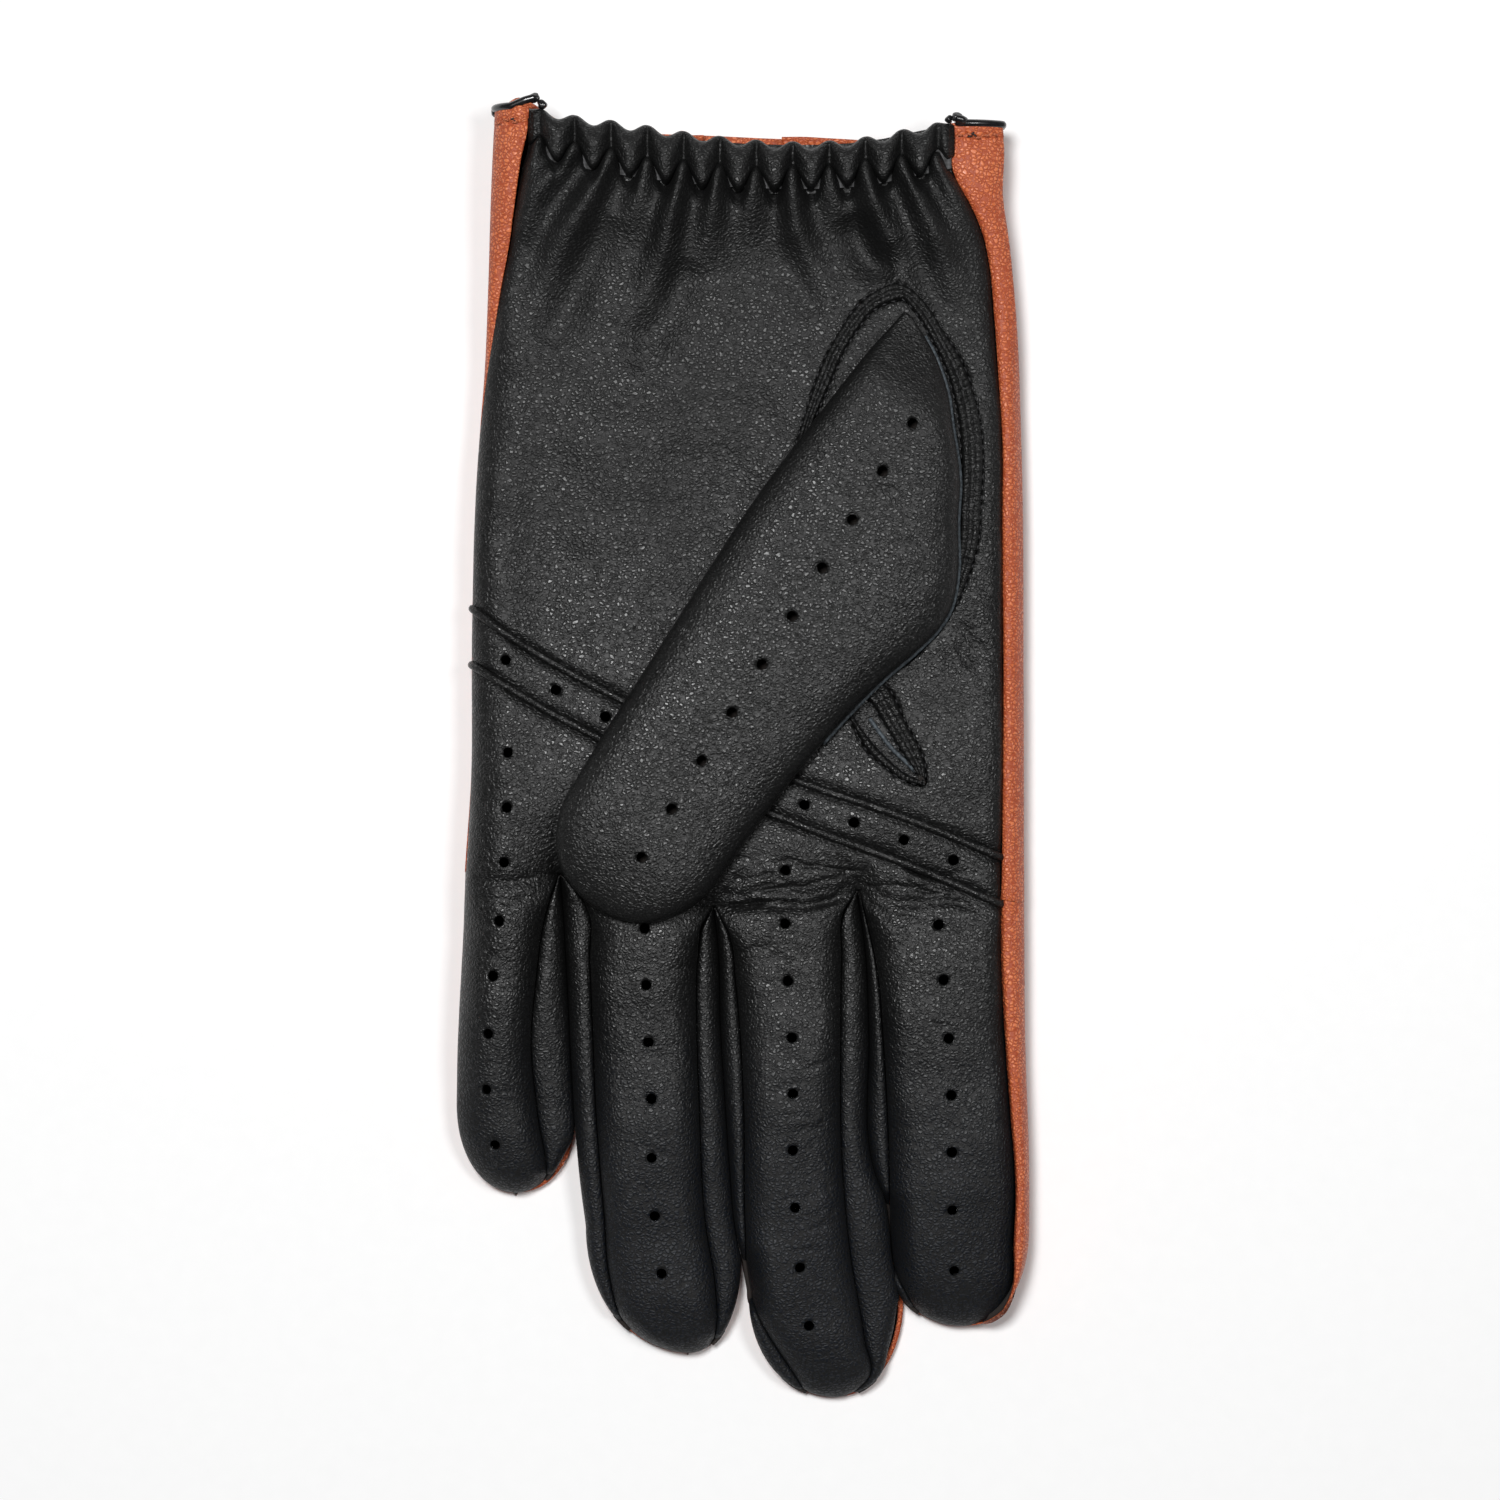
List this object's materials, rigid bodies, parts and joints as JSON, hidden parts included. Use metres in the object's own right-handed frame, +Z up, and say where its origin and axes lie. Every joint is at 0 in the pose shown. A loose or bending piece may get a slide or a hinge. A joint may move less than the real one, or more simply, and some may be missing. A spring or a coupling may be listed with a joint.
{
  "type": "leather driving glove",
  "caption": "Left-hand leather driving glove lying palm up: dark palm and stalls, tan back, gathered elastic cuff, wrist strap with press stud, thumb folded over the palm.",
  "frame": {"origin": "centre of the glove's outline, on the surface it lies on (the outer face of its back)", "axes": "+Y towards the cuff, -Y towards the fingertips, +X towards the index finger, +Z up out of the palm"},
  "size_m": [0.1034, 0.2333, 0.022],
  "materials": {
    "black_leather": "fine pebbled grain, satin",
    "tan_leather": "smooth aniline, soft sheen",
    "black_piping": "thin rolled binding, semi-gloss",
    "elastic": "ribbed woven elastic",
    "stud_metal": "gunmetal plated"
  },
  "bodies": {
    "hand": {"palm_heel": "black_leather", "palm_strip": "black_leather", "palm_base": "black_leather", "upper_welt": "black_leather", "lower_welt": "black_leather", "cuff_casing": "black_leather", "cuff_facing": "black_leather", "wrist_elastic": "elastic", "hand_back": "tan_leather", "cuff_piping": "black_piping", "thumb_gusset": "black_leather", "thumb_hole_welt": "black_leather", "stud_nub": "stud_metal", "stud_post": "stud_metal"},
    "little_finger": {"little_front": "black_leather", "little_back": "tan_leather", "little_fourchette_inner": "black_leather"},
    "ring_finger": {"ring_front": "black_leather", "ring_back": "tan_leather", "ring_fourchette_outer": "black_leather", "ring_fourchette_inner": "black_leather"},
    "middle_finger": {"middle_front": "black_leather", "middle_back": "tan_leather", "middle_fourchette_outer": "black_leather", "middle_fourchette_inner": "black_leather"},
    "index_finger": {"index_front": "black_leather", "index_back": "tan_leather", "index_fourchette_outer": "black_leather"},
    "thumb": {"thumb_front": "black_leather", "thumb_back": "black_leather"},
    "strap": {"wrist_strap": "tan_leather", "stud_cap": "stud_metal", "stud_socket": "stud_metal"}
  },
  "joints": [
    {"name": "little_knuckle", "type": "hinge", "parent": "hand", "child": "little_finger", "pos_m": [-0.0415, -0.026, 0.0136], "axis": [-1, 0, 0], "range_deg": [0, 75]},
    {"name": "ring_knuckle", "type": "hinge", "parent": "hand", "child": "ring_finger", "pos_m": [-0.0177, -0.0326, 0.0136], "axis": [-1, 0, 0], "range_deg": [0, 75]},
    {"name": "middle_knuckle", "type": "hinge", "parent": "hand", "child": "middle_finger", "pos_m": [0.009, -0.0326, 0.0136], "axis": [-1, 0, 0], "range_deg": [0, 75]},
    {"name": "index_knuckle", "type": "hinge", "parent": "hand", "child": "index_finger", "pos_m": [0.0369, -0.0326, 0.0136], "axis": [-1, 0, 0], "range_deg": [0, 75]},
    {"name": "thumb_fold", "type": "hinge", "parent": "hand", "child": "thumb", "pos_m": [0.0334, 0.0518, 0.014], "axis": [-0.143, 0.9897, 0], "range_deg": [0, 90]},
    {"name": "strap_fold", "type": "hinge", "parent": "hand", "child": "strap", "pos_m": [-0.0173, 0.10275, 0.0042], "axis": [0, 1, 0], "range_deg": [0, 100]}
  ]
}
